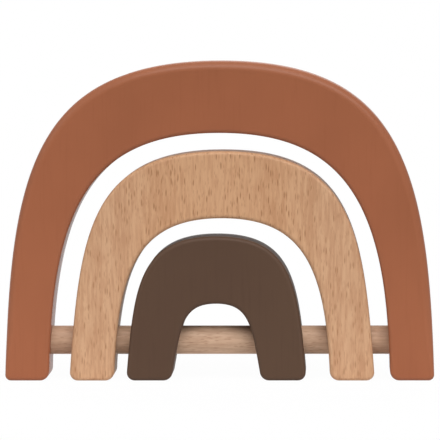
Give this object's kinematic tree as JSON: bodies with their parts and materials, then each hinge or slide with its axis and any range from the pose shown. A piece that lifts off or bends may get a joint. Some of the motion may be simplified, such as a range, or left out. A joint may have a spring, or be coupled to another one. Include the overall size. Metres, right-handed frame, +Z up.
{
  "type": "rainbow teether",
  "caption": "Wooden baby teether of nested arches that stand one inside the other and turn freely on a cross dowel through all their legs.",
  "frame": {"origin": "on the floor under the middle of the outer arch, half way through its depth", "axes": "+X along the dowel to the viewer's right, +Y from the front face to the back, +Z up from the feet to the crown"},
  "size_m": [0.12, 0.018, 0.0892],
  "materials": {
    "terracotta_paint": "satin terracotta paint on beech",
    "bare_beech": "bare sanded beech with an oil finish",
    "brown_paint": "satin dark brown paint on beech",
    "dowel_beech": "bare sanded beech rod"
  },
  "bodies": {
    "outer_frame": {"outer_arch": "terracotta_paint", "dowel": "dowel_beech"},
    "middle_swing": {"middle_arch": "bare_beech"},
    "inner_swing": {"inner_arch": "brown_paint"}
  },
  "joints": [
    {"name": "middle_turn", "type": "hinge", "parent": "outer_frame", "child": "middle_swing", "pos_m": [0.0007, 0, 0.0108], "axis": [1, 0, 0], "continuous": true},
    {"name": "inner_turn", "type": "hinge", "parent": "outer_frame", "child": "inner_swing", "pos_m": [-0.0009, 0, 0.0108], "axis": [1, 0, 0], "continuous": true}
  ]
}
